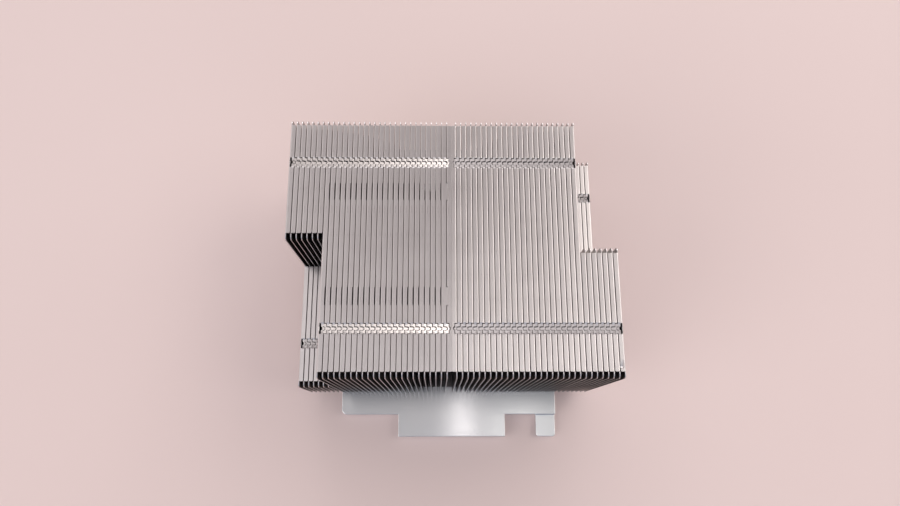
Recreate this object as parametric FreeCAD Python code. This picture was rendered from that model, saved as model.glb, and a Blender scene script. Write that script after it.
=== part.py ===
import FreeCAD, Part
import math
import os

# Passive heatsink for a server processor: a flat base plate with two clamping tongues, and a
# stack of folded sheet fins bonded to it.  Air runs along Y, between the fins.  The stack is in
# two halves that fold towards the middle, and the object is the same after half a turn about Z.
# The outer fins are stepped: low at the front on the left, low at the rear on the right.
#
# Frame: millimetres, +Z up, front towards -Y, origin on the underside at the middle of the stack.

# ---- Driving dimensions ----

# Base plate
base_width = 77.6            # across X
base_depth = 95.8            # along Y, without the tongues
base_thickness = 5.0
base_corner_radius = 2.0     # on the two corners that have no ear
tongue_width = 38.6          # clamping tongue in the middle of the front and rear edges
tongue_length = 7.8          # out from the plate's edge
tongue_offset = 1.0          # the front tongue's middle, to the right of the plate's middle
ear_width = 7.1              # thin ear beside the tongue, flush with the plate's end
ear_thickness = 2.5
ear_corner_radius = 1.2

# Fin stack
fins_per_half = 31
stepped_fins = 7             # outermost fins of each half
fin_pitch = 1.61
seam_gap = 0.08              # between one fin's flange and the next fin's fold
sheet = 0.3
fin_length = 80.0            # web, front to rear
flange_setback = 1.9         # the web reaches this far past its flanges at each end
web_corner_flat = 1.1        # on the web's free corners, at 45 degrees
stack_top = 64.0             # above the underside
low_top = 31.6               # top of the stepped fins' low flanges
step_position = 3.0          # where the high flange of a stepped fin ends, behind the middle
step_relief = 0.4            # between the low flange and the high part of the web

# Interlock: an arrow-shaped tab on each flange seats in a slot at the next fin's fold
interlock_position = 25.7    # of each row, ahead of and behind the middle
slot_throat = 1.1            # opening through the fold, along Y
slot_start = 0.4             # from the fold to the arrow's wide end
slot_length = 2.9            # the arrow's wide end, along Y
slot_end_margin = 0.15       # flange left past the point
tab_clearance = 0.08         # round the tab, in its slot

# Nodes: past this many single fins, the innermost of each half share files two by two
single_fins_per_half = 27

# ---- Sizes that follow ----

flange_width = fin_pitch - seam_gap
web_half_length = fin_length / 2
flange_half_length = web_half_length - flange_setback
half_width = base_width / 2
half_depth = base_depth / 2

Z_AXIS = FreeCAD.Vector(0, 0, 1)
ORIGIN = FreeCAD.Vector(0, 0, 0)


# ---- Helpers ----

def in_xy(u, v):
    return FreeCAD.Vector(u, v, 0)


def in_yz(u, v):
    return FreeCAD.Vector(0, u, v)


def polygon(corners, plane):
    """A flat face inside corners of (u, v), in one of the planes above."""
    points = [plane(u, v) for u, v in corners]
    return Part.Face(Part.makePolygon(points + points[:1]))


def half_turn(shape):
    """A copy turned half a turn about Z: what the front left has, the rear right has too."""
    turned = shape.copy()
    turned.rotate(ORIGIN, Z_AXIS, 180)
    return turned


def moved(shape, x=0.0, y=0.0, z=0.0):
    copy = shape.copy()
    copy.translate(FreeCAD.Vector(x, y, z))
    return copy


def upright_edges(shape, places):
    """The edges along Z that stand at one of the (x, y) places."""
    found = []
    for edge in shape.Edges:
        start, end = edge.Vertexes[0].Point, edge.Vertexes[-1].Point
        upright = (end - start).cross(Z_AXIS).Length < 1e-6
        if upright and any(math.dist((start.x, start.y), place) < 1e-6 for place in places):
            found.append(edge)
    return found


# ---- Base plate ----

def plate():
    """The plate and its two tongues."""
    left = tongue_offset - tongue_width / 2
    right = tongue_offset + tongue_width / 2
    tongue_end = half_depth + tongue_length
    front = [
        (-half_width, -half_depth),
        (left, -half_depth),
        (left, -tongue_end),
        (right, -tongue_end),
        (right, -half_depth),
        (half_width, -half_depth),
    ]
    rear = [(-x, -y) for x, y in front]
    body = polygon(front + rear, in_xy).extrude(Z_AXIS * base_thickness)
    return body.makeFillet(base_corner_radius, upright_edges(body, [front[0], rear[0]]))


def ear():
    """The thin ear at the right end of the front edge."""
    inner = half_width - ear_width
    tongue_end = half_depth + tongue_length
    body = Part.makeBox(ear_width, tongue_length, ear_thickness)
    body = moved(body, inner, -tongue_end)
    free_corners = [(inner, -tongue_end), (half_width, -tongue_end)]
    return body.makeFillet(ear_corner_radius, upright_edges(body, free_corners))


def base_plate():
    return plate().fuse([ear(), half_turn(ear())]).removeSplitter()


# ---- Fins of the left half: the fold is at local X = 0, the flanges reach towards +X ----

def web(outline):
    return polygon(outline, in_yz).extrude(FreeCAD.Vector(sheet, 0, 0))


def flange(front_end, rear_end, underside):
    """A flange, tightly folded over from the web, between two places on Y."""
    strip = Part.makeBox(flange_width, rear_end - front_end, sheet)
    return moved(strip, y=front_end, z=underside)


def arrow(root, fold, clearance):
    """The arrow of an interlock, inset by a clearance, from its root to its point.

    fold is where the slot's fold lies: the wide end and the point are measured from it.
    """
    wide = slot_length / 2
    depth = flange_width - slot_end_margin - slot_start
    inset = clearance * math.hypot(1 / depth, 1 / wide)
    throat = slot_throat / 2 - clearance
    shoulder = wide * (1 - inset - clearance / depth)
    start = fold + slot_start + clearance
    point = fold + slot_start + depth * (1 - inset)
    outline = [
        (root, -throat),
        (start, -throat),
        (start, -shoulder),
        (point, 0),
        (start, shoulder),
        (start, throat),
        (root, throat),
    ]
    return polygon(outline, in_xy).extrude(Z_AXIS * sheet)


def slot(y, top):
    """What is cut for the neighbour's tab, open through the fold."""
    return moved(arrow(-sheet, 0, 0), y=y, z=top - sheet)


def tab(y, top):
    """The tab on the flange's free edge, reaching into the next fin's slot."""
    return moved(arrow(flange_width, fin_pitch, tab_clearance), y=y, z=top - sheet)


def folded_fin(web_outline, flanges, slot_places, tab_places):
    """One fin from its web, its flanges and the (y, top) of its slots and tabs."""
    fin = web(web_outline).fuse(flanges)
    fin = fin.cut([slot(*place) for place in slot_places])
    if tab_places:
        fin = fin.fuse([tab(*place) for place in tab_places])
    return fin.removeSplitter()


def full_fin(has_tabs):
    """A fin of full height from front to rear."""
    web_top = stack_top - sheet
    web_outline = [
        (-web_half_length, base_thickness),
        (web_half_length, base_thickness),
        (web_half_length, web_top - web_corner_flat),
        (web_half_length - web_corner_flat, web_top),
        (web_corner_flat - web_half_length, web_top),
        (-web_half_length, web_top - web_corner_flat),
    ]
    flanges = [
        flange(-flange_half_length, flange_half_length, web_top),
        flange(-flange_half_length, flange_half_length, base_thickness),
    ]
    slot_places = [(-interlock_position, stack_top), (interlock_position, stack_top)]
    tab_places = slot_places if has_tabs else []
    return folded_fin(web_outline, flanges, slot_places, tab_places)


def stepped_fin(has_low_tab):
    """An outer fin of the left half, low from the front to just behind the middle."""
    web_top = stack_top - sheet
    low_web_top = low_top - sheet
    riser = step_position - flange_setback
    web_outline = [
        (-web_half_length, base_thickness),
        (web_half_length, base_thickness),
        (web_half_length, web_top - web_corner_flat),
        (web_half_length - web_corner_flat, web_top),
        (riser + web_corner_flat, web_top),
        (riser, web_top - web_corner_flat),
        (riser, low_web_top),
        (web_corner_flat - web_half_length, low_web_top),
        (-web_half_length, low_web_top - web_corner_flat),
    ]
    flanges = [
        flange(step_position, flange_half_length, web_top),
        flange(-flange_half_length, riser - step_relief, low_web_top),
        flange(-flange_half_length, flange_half_length, base_thickness),
    ]
    low_place = (-interlock_position, low_top)
    high_place = (interlock_position, stack_top)
    tab_places = [low_place, high_place] if has_low_tab else [high_place]
    return folded_fin(web_outline, flanges, [low_place, high_place], tab_places)


# ---- Assembly ----

def left_fins():
    """The left half's fins from the outside in, each at its place.

    The last stepped fin's low flange meets a full web, and the innermost fin's flange meets the
    other half, so neither has a slot to reach into.
    """
    shapes = [stepped_fin(has_low_tab=True)] * (stepped_fins - 1)
    shapes += [stepped_fin(has_low_tab=False)]
    shapes += [full_fin(has_tabs=True)] * (fins_per_half - stepped_fins - 1)
    shapes += [full_fin(has_tabs=False)]
    fins = []
    for index, shape in enumerate(shapes):
        pitches_out = fins_per_half - index
        fins.append(moved(shape, x=seam_gap / 2 - pitches_out * fin_pitch))
    return fins


def half_nodes(fins, side):
    """Names each fin of one half; past the single ones, neighbours share a node as a pair."""
    nodes = {}
    for index, fin in enumerate(fins[:single_fins_per_half]):
        kind = "stepped_fin" if index < stepped_fins else "fin"
        nodes[f"{side}_{kind}_{index + 1:02d}"] = fin
    for index in range(single_fins_per_half, len(fins), 2):
        pair = fins[index:index + 2]
        nodes[f"{side}_fin_pair_{index + 1:02d}"] = Part.makeCompound(pair)
    return nodes


def main():
    left = left_fins()
    right = [half_turn(fin) for fin in left]
    nodes = {"base_plate": base_plate()}
    nodes.update(half_nodes(left, "left"))
    nodes.update(half_nodes(right, "right"))
    os.makedirs("parts", exist_ok=True)
    for name, shape in nodes.items():
        shape.exportStep(f"parts/{name}.step")


main()
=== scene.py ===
import math
import random

import bmesh
import bpy
from mathutils import Matrix, Vector
from mathutils.geometry import delaunay_2d_cdt


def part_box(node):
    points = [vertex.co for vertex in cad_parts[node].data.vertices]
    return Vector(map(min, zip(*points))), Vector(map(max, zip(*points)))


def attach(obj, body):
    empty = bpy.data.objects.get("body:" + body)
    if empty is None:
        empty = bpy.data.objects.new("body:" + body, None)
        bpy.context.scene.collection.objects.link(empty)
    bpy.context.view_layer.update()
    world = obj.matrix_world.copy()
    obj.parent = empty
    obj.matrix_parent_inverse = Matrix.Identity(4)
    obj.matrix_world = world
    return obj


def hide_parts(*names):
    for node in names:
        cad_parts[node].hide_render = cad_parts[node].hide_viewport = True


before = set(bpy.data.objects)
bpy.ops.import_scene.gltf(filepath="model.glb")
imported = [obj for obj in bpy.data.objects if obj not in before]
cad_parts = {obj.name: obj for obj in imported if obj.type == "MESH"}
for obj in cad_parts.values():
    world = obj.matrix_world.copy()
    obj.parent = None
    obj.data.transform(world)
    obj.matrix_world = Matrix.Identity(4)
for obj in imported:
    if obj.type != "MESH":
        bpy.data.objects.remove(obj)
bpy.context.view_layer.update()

# Looks of a passive heatsink for a server processor.
#
# Every fin is drawn flat, with its slots and tabs, then folded by formula, given its thickness and
# put where its solid stands in the frame.  The base plate is one block.
#
# Lengths are in millimetres until a mesh is made, and angles in degrees.  For a fin, "along" runs
# along Y, to the rear on the left half and to the front on the right half, which is the left half
# after half a turn.  "height" is measured up the flat sheet, and "depth" in from its outer skin.

MM = 0.001

# ---- Fin sheet ----

SHEET = 0.3
FOLD_RADIUS = 0.4            # of the outer skin
FOOT_STEPS = 3               # facets round the lower fold
FOLD_STEPS = 6               # facets round the upper fold
FLANGE_SETBACK = 1.9         # the web reaches this far past its flanges
WEB_CORNER_RADIUS = 1.3
FLANGE_CORNER_RADIUS = 0.3
SEAM_GAP = 0.08              # between a flange's edge and the next fin's fold
SPRINGBACK = 2.0             # degrees that a flange stands up from level
STEPPED_SPRINGBACK = 0.2     # the high flanges of stepped fins
LOW_SPRINGBACK = 4.6         # and their low ones
SPRINGBACK_SPREAD = {"left": 0.35, "right": 0.8}     # from fin to fin
FIN_EDGE_ROUNDING = 0.035    # at most; the shortest edges, at the folds, leave less room
EDGE_SPILL = 0.02            # folds stay this far inside, as rounding can push a corner out

LAST_STEPPED = 7             # fins are numbered from the outside in, 1 to INNERMOST
INNERMOST = 31

LOW_TOP = 31.6               # of the low flanges
STEP_POSITION = 3.0          # where a stepped fin's high flange begins, along the fin
STEP_RELIEF = 0.4            # between its low flange and the high part of its web

# ---- Interlock: an arrow-shaped tab on each flange lies in a slot of the next fin ----

ROW_POSITION = 25.7
ROWS = [ROW_POSITION, -ROW_POSITION]
SLOT_LENGTH = 3.14
SLOT_START = 0.28            # of an empty slot, from the fold; only its throat runs on, down the fold
SLOT_SHOULDER = 0.82         # from the fold to the slot's straight front edge
SLOT_NOSE = 1.16             # from the fold to the end of the nose
SLOT_DEPTH = 0.7             # down the web, where a tab reaches in
THROAT = 1.16                # width of the way in through the fold, and of the nose's root
THROAT_START = 0.12          # above the start of the fold
NOSE_END = 0.7               # width of the nose at its end
TAB_CLEARANCE = 0.18         # round the tab, in its slot
NOSE_CLEARANCE = 0.3         # past a long nose
LONG_SHOULDER = 1.76         # from the fold: most noses run on, through the next fin's own tab
LONG_NOSE = 2.0
TONGUE_START = 1.28          # where no nose comes in, a tongue is cut free in its place
TONGUE_CUT = 0.18            # width of the cut
BAND_FADE = 0.15             # along the fin, from the pressed band to the level flange
FLANGE_DIP = 15.2            # degrees that the flange is pressed down inside the band
TAB_DIP = 17.5               # and the tab

# ---- Cut-backs of the flanges' edges, two to a fin, on the left half's full-height fins ----

CUTBACK_NEAR = 13.55         # ends of each, along the fin from its middle
CUTBACK_FAR = 18.85
CUTBACK_MIDDLE = (CUTBACK_NEAR + CUTBACK_FAR) / 2
CUTBACK_HALF = (CUTBACK_FAR - CUTBACK_NEAR) / 2
CUTBACK_DEPTH = 0.16
CUTBACK_SPREAD = 0.04        # from one to the next
LAST_CUT_BACK = 29
BRIDGE_REACH = 0.42          # at fin 30 the edge comes forward instead, into a slot this deep
BRIDGE_GAP = 0.02            # left at its end
BRIDGE_SIDE_GAP = 0.24       # and at its sides

# ---- Knock in the flange of the outermost right fin, near its front end ----

KNOCKED = ("right", 1)
KNOCK_POSITION = 36.7        # its deepest line, along the fin
KNOCK_SLOPE = 1.9            # from there back to the level flange
KNOCK_RIM = 0.45             # and forward to it
KNOCK_SIDE = 0.45            # and across, from the fold
KNOCK_DEPTH = 0.3

# ---- Base plate ----

BASE_CORNER_RADIUS = 2.0     # on the two corners that have no ear
TONGUE_WIDTH = 38.6
TONGUE_LENGTH = 7.8
TONGUE_OFFSET = 1.0          # the front tongue's middle, to the right of the plate's middle
EAR_WIDTH = 7.1
EAR_THICKNESS = 2.5
EAR_CORNER_RADIUS = 1.2
BASE_EDGE_ROUNDING = 0.25

# ---- Meshes ----

CORNER_STEPS = 5             # facets round an outline's corner
LEVEL_EDGE = 0.15            # past a bend, where its shading has come level
CREASE_OVERRUN = 1           # creases run out past the sheet's ends
MESH_FACES = 4               # delaunay_2d_cdt's kind of output: faces that a mesh can take
SAME_POINT = 1e-5            # points nearer than this are one
LEVEL_FACE = 0.5             # a face is level if its normal's Z is more than this, either way
BEVEL_SEGMENTS = 2
BEVEL_ANGLE = 40             # edges sharper than this are rounded

# ---- Colours, from the darker to the lighter end of a noise ----

FLANGE_COLOURS = (0.70, 0.66, 0.655), (0.76, 0.72, 0.715)
# Webs: painted shade for the dark channels between the fins; the next, for an uncovered web's outward
# face, is the metal's own colour
PAINTED_WEB_SHADE_COLOURS = (0.31, 0.28, 0.27), (0.37, 0.34, 0.33)
OUTER_WEB_COLOURS = (0.63, 0.615, 0.615), (0.66, 0.645, 0.645)
PLATE_COLOURS = (0.81, 0.81, 0.82), (0.88, 0.88, 0.88)
FLOOR_COLOURS = (0.81, 0.65, 0.62), (0.83, 0.67, 0.64)

# ---- Surfaces ----

NOISE_RANGE = 0.3, 0.7       # nearly all of a noise's values lie in it
SHEET_ROUGHNESS = 0.27, 0.36
PLATE_ROUGHNESS = 0.18, 0.22
PLATE_ANISOTROPY = 0.95
FLOOR_ROUGHNESS = 0.85
LINE_RELIEF = 6e-7           # metres, as are the next two
BRUSH_RELIEF = 5e-7
WAVE_RELIEF = 2e-5
LEVEL_NORMAL = 0.1, 0.4      # normal's Z, from upright faces to level ones
FEET_TOP = 0.006, 0.012      # metres; the feet lie lower and count as web, with its painted shade
EITHER_SIDE = -0.001, 0.001  # X times the normal's X: a narrow step between a web's two faces

# ---- Noises: scale per metre, detail, and stretch where it isn't even ----

SHEET_CLOUDS = 90, 3
ROLLING_LINES = 1, 4, (250, 9000, 1)
SHEET_WAVES = 160, 1, (1, 0.4, 1)
PLATE_CLOUDS = 60, 3
BRUSHING = 1, 5, (90, 4200, 4200)
FLOOR_CLOUDS = 6, 2

# ---- Room: metres, watts and colours ----

FLOOR_HALF = 1.5
OVERHEAD = (0.355, 0.32, 0.32)
FRONT = (0.41, 0.44, 0.52)
LOW_FRONT = (0.14, 0.15, 0.17)
BEHIND = (1.10, 1.04, 1.02)

# Where the sky goes over from one colour to the next, by the Y or Z of a direction
SKY_LOW = 0.82, 0.45         # Z, with the next: from overhead to low down behind
SKY_BEHIND = -1.0, 1.0       # Y
SKY_FRONT = 0.02, -0.2       # Y, from overhead to the front
SKY_LOW_FRONT = 0.5, 0.15    # Z, from the front to low down in front

LAMP_AIM = (0, 0, 0.05)
LAMPS = [                    # name, place, width, depth, power, colour
    ("key", (0.66, 0.15, 0.9), 0.45, 0.9, 3.0, (1.0, 0.95, 0.89)),
    ("streak", (0.045, 0.0, 1.2), 0.022, 0.5, 0.098, (1.0, 0.95, 0.94)),
    ("panel", (0.225, 0.03, 1.2), 0.25, 0.3, 0.185, (1.0, 1.0, 0.96)),
    ("ceiling", (-0.05, 0.03, 1.2), 0.5, 0.22, 0.162, (1.0, 0.97, 0.93)),
    ("glow", (-0.5, 0.2, 1.0), 0.27, 0.75, 0.53, (1.0, 0.98, 0.98)),
    ("fill", (-1.0, -0.6, 0.8), 0.9, 0.9, 4.2, (1.0, 0.98, 0.96)),
    ("window", (0.3, 1.9, 0.9), 2.4, 1.0, 13.0, (0.97, 0.98, 1.0)),
]

# ---- Camera: millimetres and degrees ----

SENSOR_WIDTH = 36
LENS = 27.956
CAMERA_PLACE = (-4.157, -56.894, 264.853)
CAMERA_ANGLES = (14.985, -1.003, -0.161)

SEED = 7


# ---- Outlines ----

def rounded(corners):
    """Points of an outline from (x, y, radius) corners, each rounded by its radius."""
    points = []
    for index, (x, y, radius) in enumerate(corners):
        corner = Vector((x, y))
        if not radius:
            points.append(corner)
            continue
        before = (Vector(corners[index - 1][:2]) - corner).normalized()
        after = (Vector(corners[(index + 1) % len(corners)][:2]) - corner).normalized()
        half = before.angle(after) / 2
        reach = radius / math.tan(half)
        centre = corner + (before + after).normalized() * (radius / math.sin(half))
        start = corner + before * reach - centre
        end = corner + after * reach - centre
        turn = start.angle_signed(end)         # clockwise
        for step in range(CORNER_STEPS + 1):
            angle = -turn * step / CORNER_STEPS
            turned = Vector((
                start.x * math.cos(angle) - start.y * math.sin(angle),
                start.x * math.sin(angle) + start.y * math.cos(angle),
            ))
            points.append(centre + turned)
    return points


def mirrored(position, corners):
    """(along, height, radius) corners from (half width, height), down one side and up the other."""
    one = [(position - half, height, 0) for half, height in corners]
    other = [(position + half, height, 0) for half, height in reversed(corners)]
    return one + other


def divided(outlines, creases=()):
    """Flat points, the faces between all the lines, and for each face the outlines round it."""
    points = []
    loops = []
    for outline in outlines:
        loops.append(list(range(len(points), len(points) + len(outline))))
        points += outline
    lines = []
    for start, end in creases:
        lines.append((len(points), len(points) + 1))
        points += [Vector(start), Vector(end)]
    made = delaunay_2d_cdt(points, lines, loops, MESH_FACES, SAME_POINT)
    flat, _, faces, _, _, around = made
    return flat, faces, around


# ---- Which rows of the interlock a fin takes part in ----

def tabs_of(number):
    """The rows, by their place along the fin, in which a fin has a tab."""
    return {LAST_STEPPED: ROWS[:1], INNERMOST: []}.get(number, ROWS)


def empty_slots_of(number):
    """The rows in which no tab reaches into the fin's slot."""
    return {1: ROWS, LAST_STEPPED + 1: ROWS[1:]}.get(number, [])


def long_slots_of(number):
    """The rows in which the fin's slot runs on, through its own tab."""
    return [row for row in tabs_of(number) if row not in empty_slots_of(number)]


def head(long, inset=0, nose_inset=0):
    """The interlock's front half: (half width, distance from the fold) from shoulder to nose."""
    wings = [
        (SLOT_LENGTH / 2 - inset, SLOT_SHOULDER - inset),
        (THROAT / 2 - inset, SLOT_SHOULDER - inset),
    ]
    if long:
        return wings + [
            (THROAT / 2 - inset, LONG_SHOULDER - nose_inset),
            (NOSE_END / 2 - inset, LONG_NOSE - nose_inset),
        ]
    return wings + [(NOSE_END / 2 - inset, SLOT_NOSE - inset)]


# ---- Folded sheet ----

class Fold:
    """How one flange is folded over from its web, at the height top.

    On the flat sheet the fold runs from bend to root, and the flange from root to free.
    """

    def __init__(self, top, width, tilt):
        self.angle = math.radians(90 - tilt)
        run = (width - FOLD_RADIUS * (1 - math.cos(self.angle))) / math.sin(self.angle)
        rise = FOLD_RADIUS * math.sin(self.angle) + run * math.cos(self.angle)
        self.arc = FOLD_RADIUS * self.angle
        self.bend = top - rise
        self.root = self.bend + self.arc
        self.free = self.root + run

    def across(self, x):
        """The unfolded height of the flange's point at x."""
        start = FOLD_RADIUS * (1 - math.cos(self.angle))
        return self.root + (x - start) / math.sin(self.angle)

    def place(self, height, depth):
        """(x, z) of a point of the unfolded sheet."""
        over = height - self.bend
        if over <= 0:
            return depth, height
        angle = min(over / FOLD_RADIUS, self.angle)
        run = max(over - self.arc, 0)
        reach = FOLD_RADIUS - depth
        x = FOLD_RADIUS - reach * math.cos(angle) + run * math.sin(angle)
        z = self.bend + reach * math.sin(angle) + run * math.cos(angle)
        return x, z

    def creases(self, steps):
        """Heights of the creases round the fold, and of one more on each side of it."""
        heights = [self.bend + self.arc * step / steps for step in range(steps + 1)]
        return heights + [self.bend - LEVEL_EDGE, self.root + LEVEL_EDGE]


class Fin:
    """One fin, as it stands in the left half: its flat outline, slots and creases, and its folds."""

    def __init__(self, size, number, side):
        self.size = size
        self.number = number
        self.side = side
        self.knocked = (side, number) == KNOCKED
        self.stepped = number <= LAST_STEPPED
        self.riser = STEP_POSITION - FLANGE_SETBACK
        spread = SPRINGBACK_SPREAD[side]
        change = random.uniform(-spread, spread)
        tilt = STEPPED_SPRINGBACK if self.stepped else SPRINGBACK
        self.high = Fold(size.top, size.flange_width, tilt + change)
        self.low = Fold(LOW_TOP, size.flange_width, LOW_SPRINGBACK + change)
        self.foot = Fold(size.top, size.flange_width, 0)

    def mirror(self, height):
        """The same height counted down from the top, as the foot's fold is worked out."""
        return self.size.top + self.size.bottom - height

    def fold_at(self, along):
        """The upper fold at a place along the fin."""
        return self.low if self.stepped and along < self.riser else self.high

    def cutback_places(self, first, last):
        """Middles of the cut-backs along the fin, if it is a left one from first to last."""
        if self.side == "left" and first <= self.number <= last:
            return [CUTBACK_MIDDLE, -CUTBACK_MIDDLE]
        return []

    # -- Folding --

    def place(self, along, height, depth):
        """The folded point of an unfolded one."""
        belongs_to_foot = height < (self.size.bottom + LOW_TOP) / 2
        if belongs_to_foot:
            x, z = self.foot.place(self.mirror(height), depth)
            return x, along, self.mirror(z)
        fold = self.fold_at(along)
        x, z = fold.place(height, depth)
        sunk = self.pressed(fold, along, height) + self.dented(fold, along, height)
        return x, along, z - sunk

    def pressed(self, fold, along, height):
        """How far down a point lies below the straight line of its flange.

        In the interlock's band the flange is pressed down past the slots' shoulder, and its tab
        more so.  Outside the band, what reaches past the flange's edge lies level.
        """
        share = 0
        for row in tabs_of(self.number):
            outside = abs(along - row) - SLOT_LENGTH / 2
            share = max(share, min(1 - outside / BAND_FADE, 1))
        past_shoulder = max(height - fold.across(SLOT_SHOULDER), 0)
        past_edge = max(height - fold.free, 0)
        flange, tab = (math.tan(math.radians(dip)) for dip in (FLANGE_DIP, TAB_DIP))
        dipped = past_shoulder * flange + past_edge * (tab - flange)
        levelled = past_edge * math.cos(fold.angle)
        return share * dipped + (1 - share) * levelled

    def dented(self, fold, along, height):
        """How far down a point lies in the knock."""
        if not self.knocked:
            return 0
        past = along - KNOCK_POSITION
        share = min(1 + past / KNOCK_SLOPE, 1 - past / KNOCK_RIM)
        across = min((height - fold.root) / KNOCK_SIDE, 1)
        return KNOCK_DEPTH * max(share, 0) * max(across, 0)

    # -- Outline --

    def tab_side(self, fold, row):
        """One side of the tab: (half width, height) from the flange's edge to the nose."""
        long = row in long_slots_of(self.number + 1)
        side = [
            (half, fold.across(self.size.pitch + x))
            for half, x in head(long, TAB_CLEARANCE, NOSE_CLEARANCE)
        ]
        return [(side[0][0], fold.free)] + side

    def cutback_side(self, fold):
        """One side of a cut-back, or of the bridge that stands in its place."""
        if self.number <= LAST_CUT_BACK:
            depth = CUTBACK_DEPTH + random.uniform(-CUTBACK_SPREAD, CUTBACK_SPREAD)
            end = fold.free - depth
        else:
            end = fold.across(self.size.pitch + BRIDGE_REACH - BRIDGE_GAP)
        return [(CUTBACK_HALF, fold.free), (CUTBACK_HALF, end)]

    def flange_edge(self, fold, rear, front):
        """Corners of the flange's free edge from the rear to the front."""
        sides = {}
        for row in tabs_of(self.number):
            if front < row < rear:
                sides[row] = self.tab_side(fold, row)
        for middle in self.cutback_places(LAST_STEPPED + 1, INNERMOST - 1):
            sides[middle] = self.cutback_side(fold)
        corners = [(rear, fold.free, FLANGE_CORNER_RADIUS)]
        for position in sorted(sides, reverse=True):
            corners += reversed(mirrored(position, sides[position]))
        corners.append((front, fold.free, FLANGE_CORNER_RADIUS))
        return corners

    def outline(self):
        end = self.size.half_length
        flange_end = end - FLANGE_SETBACK
        foot_bend = self.mirror(self.foot.bend)
        foot_free = self.mirror(self.foot.free)
        high = self.high
        front = self.fold_at(-end)
        corners = [
            (-flange_end, foot_free, 0),
            (flange_end, foot_free, 0),
            (flange_end, foot_bend, 0),
            (end, foot_bend, 0),
            (end, high.bend, WEB_CORNER_RADIUS),
            (flange_end, high.bend, 0),
        ]
        if self.stepped:
            low_end = self.riser - STEP_RELIEF
            corners += self.flange_edge(high, flange_end, STEP_POSITION)
            corners += [
                (STEP_POSITION, high.bend, 0),
                (self.riser, high.bend, WEB_CORNER_RADIUS),
                (self.riser, front.bend, 0),
                (low_end, front.bend, 0),
            ]
            corners += self.flange_edge(front, low_end, -flange_end)
        else:
            corners += self.flange_edge(high, flange_end, -flange_end)
        corners += [
            (-flange_end, front.bend, 0),
            (-end, front.bend, WEB_CORNER_RADIUS),
            (-end, foot_bend, 0),
            (-flange_end, foot_bend, 0),
        ]
        return rounded(corners)

    # -- Slots --

    def slots(self):
        """Outlines of the slots through the fold, and of the bridges' slots at the innermost fin.

        Where no nose comes in, the fin's own tab has a tongue cut free instead.
        """
        found = []
        for row in ROWS:
            fold = self.fold_at(row)
            if row in empty_slots_of(self.number):
                sides = [
                    (THROAT / 2, fold.bend + THROAT_START),
                    (THROAT / 2, fold.across(SLOT_START)),
                    (SLOT_LENGTH / 2, fold.across(SLOT_START)),
                ]
                found.append(self.tongue_cut(row, fold))
            else:
                sides = [(SLOT_LENGTH / 2, fold.bend - SLOT_DEPTH)]
            long = row in long_slots_of(self.number)
            sides += [(half, fold.across(x)) for half, x in head(long)]
            found.append(mirrored(row, sides))
        for middle in self.cutback_places(INNERMOST, INNERMOST):
            half = CUTBACK_HALF + BRIDGE_SIDE_GAP
            sides = [(half, self.high.bend), (half, self.high.across(BRIDGE_REACH))]
            found.append(mirrored(middle, sides))
        # Turned round, so that they wind anticlockwise as the outline does
        return [rounded(corners[::-1]) for corners in found]

    def tongue_cut(self, row, fold):
        """The cut round a tongue, narrower at its nose, as one closed line of corners."""
        paths = []
        for inset in (0, TONGUE_CUT):
            paths.append(mirrored(row, [
                (THROAT / 2 - inset, fold.across(TONGUE_START)),
                (THROAT / 2 - inset, fold.across(LONG_SHOULDER - inset / 2)),
                (NOSE_END / 2 - inset, fold.across(LONG_NOSE - inset)),
            ]))
        outer, inner = paths
        return outer + inner[::-1]

    # -- Creases: lines on the flat sheet where it bends, each a (start, end) pair --

    def creases(self):
        lines = self.upper_creases()
        for row in tabs_of(self.number):
            lines += self.tab_creases(row)
        if self.knocked:
            lines += self.knock_creases()
        for middle in self.cutback_places(INNERMOST - 1, INNERMOST - 1):
            start, end = middle - CUTBACK_HALF, middle + CUTBACK_HALF
            lines.append(((start, self.high.free), (end, self.high.free)))
        end = self.size.half_length + CREASE_OVERRUN
        for height in self.foot.creases(FOOT_STEPS):
            lines.append(((-end, self.mirror(height)), (end, self.mirror(height))))
        return lines

    def upper_creases(self):
        end = self.size.half_length + CREASE_OVERRUN
        spans = [(self.high, -end, end)]
        if self.stepped:
            spans = [(self.high, self.riser, end), (self.low, -end, self.riser)]
        lines = []
        for fold, front, rear in spans:
            lines += [((front, height), (rear, height)) for height in fold.creases(FOLD_STEPS)]
        return lines

    def tab_creases(self, row):
        """Round the band that is pressed down at a tab."""
        fold = self.fold_at(row)
        band = SLOT_LENGTH / 2
        shoulder = fold.across(SLOT_SHOULDER)
        faded = band + BAND_FADE
        lines = []
        for height in (shoulder, fold.free):
            lines.append(((row - faded, height), (row + faded, height)))
        for along in (-faded, -band, band, faded):
            lines.append(((row + along, shoulder), (row + along, fold.free)))
        for along in (-faded - LEVEL_EDGE, faded + LEVEL_EDGE):
            lines.append(((row + along, fold.root), (row + along, fold.free)))
        return lines

    def knock_creases(self):
        root = self.high.root
        start = KNOCK_POSITION - KNOCK_SLOPE
        level = KNOCK_POSITION + KNOCK_RIM
        lines = []
        for height in (root + KNOCK_SIDE, root + KNOCK_SIDE / 2):
            lines.append(((start, height), (level, height)))
        for along in (start - LEVEL_EDGE, start, KNOCK_POSITION, level, level + LEVEL_EDGE):
            lines.append(((along, root), (along, self.high.free)))
        return lines


def cut_flat(fin):
    """Flat points and faces of the fin's sheet: inside its outline, and in none of its slots."""
    flat, faces, around = divided([fin.outline()] + fin.slots(), fin.creases())
    return flat, [face for face, outlines in zip(faces, around) if outlines == [0]]


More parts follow.
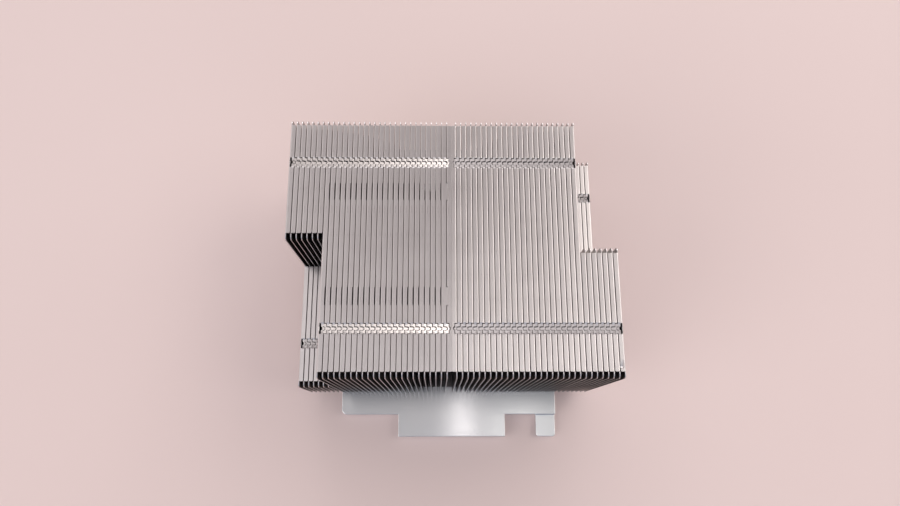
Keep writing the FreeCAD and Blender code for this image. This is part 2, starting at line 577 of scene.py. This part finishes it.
def add_sheet(bm, fin, fold, turn):
    """Adds the folded fin to bm, with its fold at x; turn is -1 for the right half, else 1."""
    flat, faces = cut_flat(fin)
    layer = bm.loops.layers.uv.verify()
    used = sorted({index for face in faces for index in face})
    skins = []
    for depth in (0, SHEET):
        skin = {}
        for index in used:
            x, y, z = fin.place(*flat[index], depth)
            skin[index] = bm.verts.new(Vector((fold + turn * x, turn * y, z)) * MM)
        skins.append(skin)
    outer, inner = skins
    directed = set()

    def add(vertices, indices):
        face = bm.faces.new(vertices)
        face.smooth = True
        for loop, index in zip(face.loops, indices):
            loop[layer].uv = flat[index] * MM

    for face in faces:
        add([outer[index] for index in face], face)
        back = list(reversed(face))
        add([inner[index] for index in back], back)
        directed.update(zip(face, face[1:] + face[:1]))
    for a, b in directed:
        if (b, a) not in directed:
            add([outer[b], outer[a], inner[a], inner[b]], [b, a, a, b])


# ---- Pieces ----

def piece(name, bm, material, node, rounding):
    """A mesh piece that rides on the root body and stands for one CAD node."""
    bmesh.ops.recalc_face_normals(bm, faces=bm.faces)
    mesh = bpy.data.meshes.new(name)
    bm.to_mesh(mesh)
    bm.free()
    made = bpy.data.objects.new(name, mesh)
    bpy.context.scene.collection.objects.link(made)
    made.data.materials.append(material)
    edge = made.modifiers.new("edges", "BEVEL")
    edge.width = rounding * MM
    edge.segments = BEVEL_SEGMENTS
    edge.limit_method = "ANGLE"
    edge.angle_limit = math.radians(BEVEL_ANGLE)
    edge.harden_normals = True
    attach(made, "root")
    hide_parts(node)
    return made


class Size:
    """Sizes of the fins, from the frame."""

    def __init__(self):
        low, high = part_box("left_fin_08")
        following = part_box("left_fin_09")[0]
        self.bottom = low.z / MM
        self.top = high.z / MM - EDGE_SPILL
        self.half_length = high.y / MM
        self.pitch = (following.x - low.x) / MM
        self.flange_width = self.pitch - SEAM_GAP


def fin_piece(node, size, material):
    """The folded fin, or pair of fins, of one CAD node."""
    low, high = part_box(node)
    side = node.split("_")[0]
    number = int(node[-2:])
    count = 2 if "pair" in node else 1
    turn, outer = (1, low.x / MM) if side == "left" else (-1, high.x / MM)
    bm = bmesh.new()
    for index in range(count):
        fin = Fin(size, number + index, side)
        fold = outer + turn * (EDGE_SPILL + index * size.pitch)
        add_sheet(bm, fin, fold, turn)
    return piece(node + "_sheet", bm, material, node, FIN_EDGE_ROUNDING)


def base_outlines(half_width, tongue_end):
    """Outlines of the plate with its tongues, and of the ear at each end."""
    half_depth = tongue_end - TONGUE_LENGTH
    left = TONGUE_OFFSET - TONGUE_WIDTH / 2
    right = TONGUE_OFFSET + TONGUE_WIDTH / 2
    inner = half_width - EAR_WIDTH
    front = [
        (-half_width, -half_depth, BASE_CORNER_RADIUS),
        (left, -half_depth, 0),
        (left, -tongue_end, 0),
        (right, -tongue_end, 0),
        (right, -half_depth, 0),
        (inner, -half_depth, 0),
        (half_width, -half_depth, 0),
    ]
    ear = [
        (inner, -half_depth, 0),
        (inner, -tongue_end, EAR_CORNER_RADIUS),
        (half_width, -tongue_end, EAR_CORNER_RADIUS),
        (half_width, -half_depth, 0),
    ]
    rear = [(-x, -y, radius) for x, y, radius in front]
    rear_ear = [(-x, -y, radius) for x, y, radius in ear]
    return [rounded(front + rear), rounded(ear), rounded(rear_ear)]


def base_piece(material):
    """The plate with its tongues and ears, as one stepped block with softened edges.

    It is divided flat, and each face becomes a top and an underside; walls stand wherever the
    tops of neighbours differ.
    """
    low, high = (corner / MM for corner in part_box("base_plate"))
    flat, faces, around = divided(base_outlines(high.x, high.y))
    heights = [high.z, EAR_THICKNESS, EAR_THICKNESS]
    bm = bmesh.new()
    layer = bm.loops.layers.uv.verify()
    vertices = {}

    def vertex(index, z):
        if (index, z) not in vertices:
            vertices[index, z] = bm.verts.new(Vector((*flat[index], z)) * MM)
        return vertices[index, z]

    tops = {}
    for face, outlines in zip(faces, around):
        z = heights[outlines[0]]
        bm.faces.new([vertex(index, z) for index in face])
        bm.faces.new([vertex(index, low.z) for index in reversed(face)])
        for edge in zip(face, face[1:] + face[:1]):
            tops[edge] = z
    for (a, b), z in tops.items():
        other = tops.get((b, a), low.z)
        if z <= other:
            continue
        wall = [vertex(b, z), vertex(a, z), vertex(a, other), vertex(b, other)]
        # A full wall that meets an ear has a corner at the ear's top too
        between = other < EAR_THICKNESS < z
        if between and (b, EAR_THICKNESS) in vertices:
            wall.append(vertex(b, EAR_THICKNESS))
        if between and (a, EAR_THICKNESS) in vertices:
            wall.insert(2, vertex(a, EAR_THICKNESS))
        bm.faces.new(wall)
    bm.normal_update()
    for face in bm.faces:
        face.smooth = True
        level = abs(face.normal.z) > LEVEL_FACE
        for loop in face.loops:
            place = loop.vert.co
            loop[layer].uv = (place.y if level else place.z, place.x)
    return piece("base_plate_block", bm, material, "base_plate", BASE_EDGE_ROUNDING)


# ---- Shader nodes ----

# A mix node's sockets for colours, which share their names with those for numbers
MIX_SHARE = 0
MIX_COLOURS = 6, 7
MIX_RESULT = 2


def nodes_of(name):
    material = bpy.data.materials.new(name)
    material.use_nodes = True
    tree = material.node_tree
    shader = tree.nodes["Principled BSDF"]
    return material, tree, shader


def noise(tree, scale, detail, stretch=(1, 1, 1), coordinates="Object"):
    """A noise texture, per metre, stretched by the three factors."""
    place = tree.nodes.new("ShaderNodeTexCoord")
    mapping = tree.nodes.new("ShaderNodeMapping")
    mapping.inputs["Scale"].default_value = stretch
    texture = tree.nodes.new("ShaderNodeTexNoise")
    texture.inputs["Scale"].default_value = scale
    texture.inputs["Detail"].default_value = detail
    tree.links.new(place.outputs[coordinates], mapping.inputs["Vector"])
    tree.links.new(mapping.outputs["Vector"], texture.inputs["Vector"])
    return texture.outputs["Fac"]


def ramp(tree, value, low, high):
    """Maps a noise onto the span between two colours."""
    made = tree.nodes.new("ShaderNodeValToRGB")
    for element, position, colour in zip(made.color_ramp.elements, NOISE_RANGE, (low, high)):
        element.position = position
        element.color = (*colour, 1)
    tree.links.new(value, made.inputs["Fac"])
    return made.outputs["Color"]


def span(tree, value, start, end, low=0, high=1):
    """Low where the value is at start, high where it is at end."""
    made = tree.nodes.new("ShaderNodeMapRange")
    made.inputs["From Min"].default_value = start
    made.inputs["From Max"].default_value = end
    made.inputs["To Min"].default_value = low
    made.inputs["To Max"].default_value = high
    tree.links.new(value, made.inputs["Value"])
    return made.outputs["Result"]


def bump(tree, value, distance, normal=None):
    """A bump, in metres, on top of another normal if one is given."""
    made = tree.nodes.new("ShaderNodeBump")
    made.inputs["Distance"].default_value = distance
    tree.links.new(value, made.inputs["Height"])
    if normal:
        tree.links.new(normal, made.inputs["Normal"])
    return made.outputs["Normal"]


def coordinate(tree, output, axis):
    """One axis of a texture coordinate, such as Object or Normal."""
    place = tree.nodes.new("ShaderNodeTexCoord")
    parts = tree.nodes.new("ShaderNodeSeparateXYZ")
    tree.links.new(place.outputs[output], parts.inputs["Vector"])
    return parts.outputs[axis]


def product(tree, first, second):
    made = tree.nodes.new("ShaderNodeMath")
    made.operation = "MULTIPLY"
    tree.links.new(first, made.inputs[0])
    tree.links.new(second, made.inputs[1])
    return made.outputs[0]


def mixed(tree, share, first, second):
    """From the first colour to the second; either may be an output or a plain colour."""
    made = tree.nodes.new("ShaderNodeMix")
    made.data_type = "RGBA"
    tree.links.new(share, made.inputs[MIX_SHARE])
    for place, colour in zip(MIX_COLOURS, (first, second)):
        if isinstance(colour, tuple):
            made.inputs[place].default_value = (*colour, 1)
        else:
            tree.links.new(colour, made.inputs[place])
    return made.outputs[MIX_RESULT]


def facing_up(tree):
    """0 where painted shade goes: upright faces, such as webs, and down at the feet; 1 on the flanges
    above.
    """
    size = tree.nodes.new("ShaderNodeMath")
    size.operation = "ABSOLUTE"
    tree.links.new(coordinate(tree, "Normal", "Z"), size.inputs[0])
    level = span(tree, size.outputs[0], *LEVEL_NORMAL)
    above_feet = span(tree, coordinate(tree, "Object", "Z"), *FEET_TOP)
    return product(tree, level, above_feet)


def facing_out(tree):
    """1 on webs' faces that look away from the middle of the stack, 0 on the others."""
    turned = product(tree, coordinate(tree, "Normal", "X"), coordinate(tree, "Object", "X"))
    return span(tree, turned, *EITHER_SIDE)


# ---- Materials ----

def sheet_material(name, uncovered):
    """Mill-finish aluminium strip with faint rolling lines and slight waviness.

    Webs get painted shade, darker than the flanges, apart from the outward face of an uncovered one.
    """
    material, tree, shader = nodes_of(name)
    shader.inputs["Metallic"].default_value = 1.0
    clouds = noise(tree, *SHEET_CLOUDS)
    lines = noise(tree, *ROLLING_LINES, coordinates="UV")
    waves = noise(tree, *SHEET_WAVES)
    flanges = ramp(tree, clouds, *FLANGE_COLOURS)
    # The webs' colour is painted shade for the channels between the fins
    webs = ramp(tree, clouds, *PAINTED_WEB_SHADE_COLOURS)
    if uncovered:
        webs = mixed(tree, facing_out(tree), webs, ramp(tree, clouds, *OUTER_WEB_COLOURS))
    roughness = span(tree, lines, *NOISE_RANGE, *SHEET_ROUGHNESS)
    wavy = bump(tree, waves, WAVE_RELIEF)
    tree.links.new(mixed(tree, facing_up(tree), webs, flanges), shader.inputs["Base Color"])
    tree.links.new(roughness, shader.inputs["Roughness"])
    tree.links.new(bump(tree, lines, LINE_RELIEF, wavy), shader.inputs["Normal"])
    return material


def plate_material():
    """Satin aluminium brushed across the plate, so that highlights stretch front to rear."""
    material, tree, shader = nodes_of("brushed_plate")
    shader.inputs["Metallic"].default_value = 1.0
    shader.inputs["Anisotropic"].default_value = PLATE_ANISOTROPY
    clouds = noise(tree, *PLATE_CLOUDS)
    brushing = noise(tree, *BRUSHING)
    roughness = span(tree, clouds, *NOISE_RANGE, *PLATE_ROUGHNESS)
    grain = tree.nodes.new("ShaderNodeTangent")
    grain.direction_type = "UV_MAP"
    tree.links.new(ramp(tree, brushing, *PLATE_COLOURS), shader.inputs["Base Color"])
    tree.links.new(roughness, shader.inputs["Roughness"])
    tree.links.new(bump(tree, brushing, BRUSH_RELIEF), shader.inputs["Normal"])
    tree.links.new(grain.outputs["Tangent"], shader.inputs["Tangent"])
    return material


def floor_material():
    material, tree, shader = nodes_of("pale_floor")
    clouds = noise(tree, *FLOOR_CLOUDS)
    tree.links.new(ramp(tree, clouds, *FLOOR_COLOURS), shader.inputs["Base Color"])
    shader.inputs["Roughness"].default_value = FLOOR_ROUGHNESS
    return material


# ---- Stage ----

def floor(material):
    half = FLOOR_HALF
    bm = bmesh.new()
    corners = [(-half, -half), (half, -half), (half, half), (-half, half)]
    bm.faces.new([bm.verts.new((x, y, 0)) for x, y in corners])
    mesh = bpy.data.meshes.new("floor")
    bm.to_mesh(mesh)
    bm.free()
    made = bpy.data.objects.new("floor", mesh)
    made.data.materials.append(material)
    bpy.context.scene.collection.objects.link(made)


def lamp(name, place, width, depth, power, colour):
    """A soft rectangular lamp that faces the object; its depth runs along Y."""
    light = bpy.data.lights.new(name, "AREA")
    light.shape = "RECTANGLE"
    light.size = width
    light.size_y = depth
    light.energy = power
    light.color = colour
    made = bpy.data.objects.new(name, light)
    back = (Vector(place) - Vector(LAMP_AIM)).normalized()
    along = back.cross(Vector((1, 0, 0))).normalized()
    made.location = place
    made.rotation_euler = Matrix((along.cross(back), along, back)).transposed().to_euler()
    bpy.context.scene.collection.objects.link(made)


def sky():
    """A soft room: pinkish grey overhead, bluish and dim in front, brightest low down behind."""
    world = bpy.data.worlds.new("studio")
    world.use_nodes = True
    tree = world.node_tree
    background = tree.nodes["Background"]
    along = coordinate(tree, "Generated", "Y")
    up = coordinate(tree, "Generated", "Z")
    low_behind = product(tree, span(tree, up, *SKY_LOW), span(tree, along, *SKY_BEHIND))
    ahead = mixed(tree, span(tree, up, *SKY_LOW_FRONT), FRONT, LOW_FRONT)
    room = mixed(tree, span(tree, along, *SKY_FRONT), OVERHEAD, ahead)
    tree.links.new(mixed(tree, low_behind, room, BEHIND), background.inputs["Color"])
    bpy.context.scene.world = world


def camera():
    data = bpy.data.cameras.new("camera")
    data.sensor_width = SENSOR_WIDTH
    data.lens = LENS
    made = bpy.data.objects.new("camera", data)
    made.location = Vector(CAMERA_PLACE) * MM
    made.rotation_euler = [math.radians(angle) for angle in CAMERA_ANGLES]
    bpy.context.scene.collection.objects.link(made)
    bpy.context.scene.camera = made


# ---- Build ----

random.seed(SEED)
size = Size()
covered_sheet = sheet_material("rolled_sheet", False)
uncovered_sheet = sheet_material("rolled_sheet_uncovered", True)
base_piece(plate_material())
for node in sorted(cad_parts):
    if node != "base_plate":
        # Outside these webs stands no fin, or one that is low for half its length, so their outer
        # faces go without painted shade
        uncovered = int(node[-2:]) in (1, LAST_STEPPED + 1)
        fin_piece(node, size, uncovered_sheet if uncovered else covered_sheet)
floor(floor_material())
sky()
for settings in LAMPS:
    lamp(*settings)
camera()
bpy.context.scene.view_settings.view_transform = "Standard"
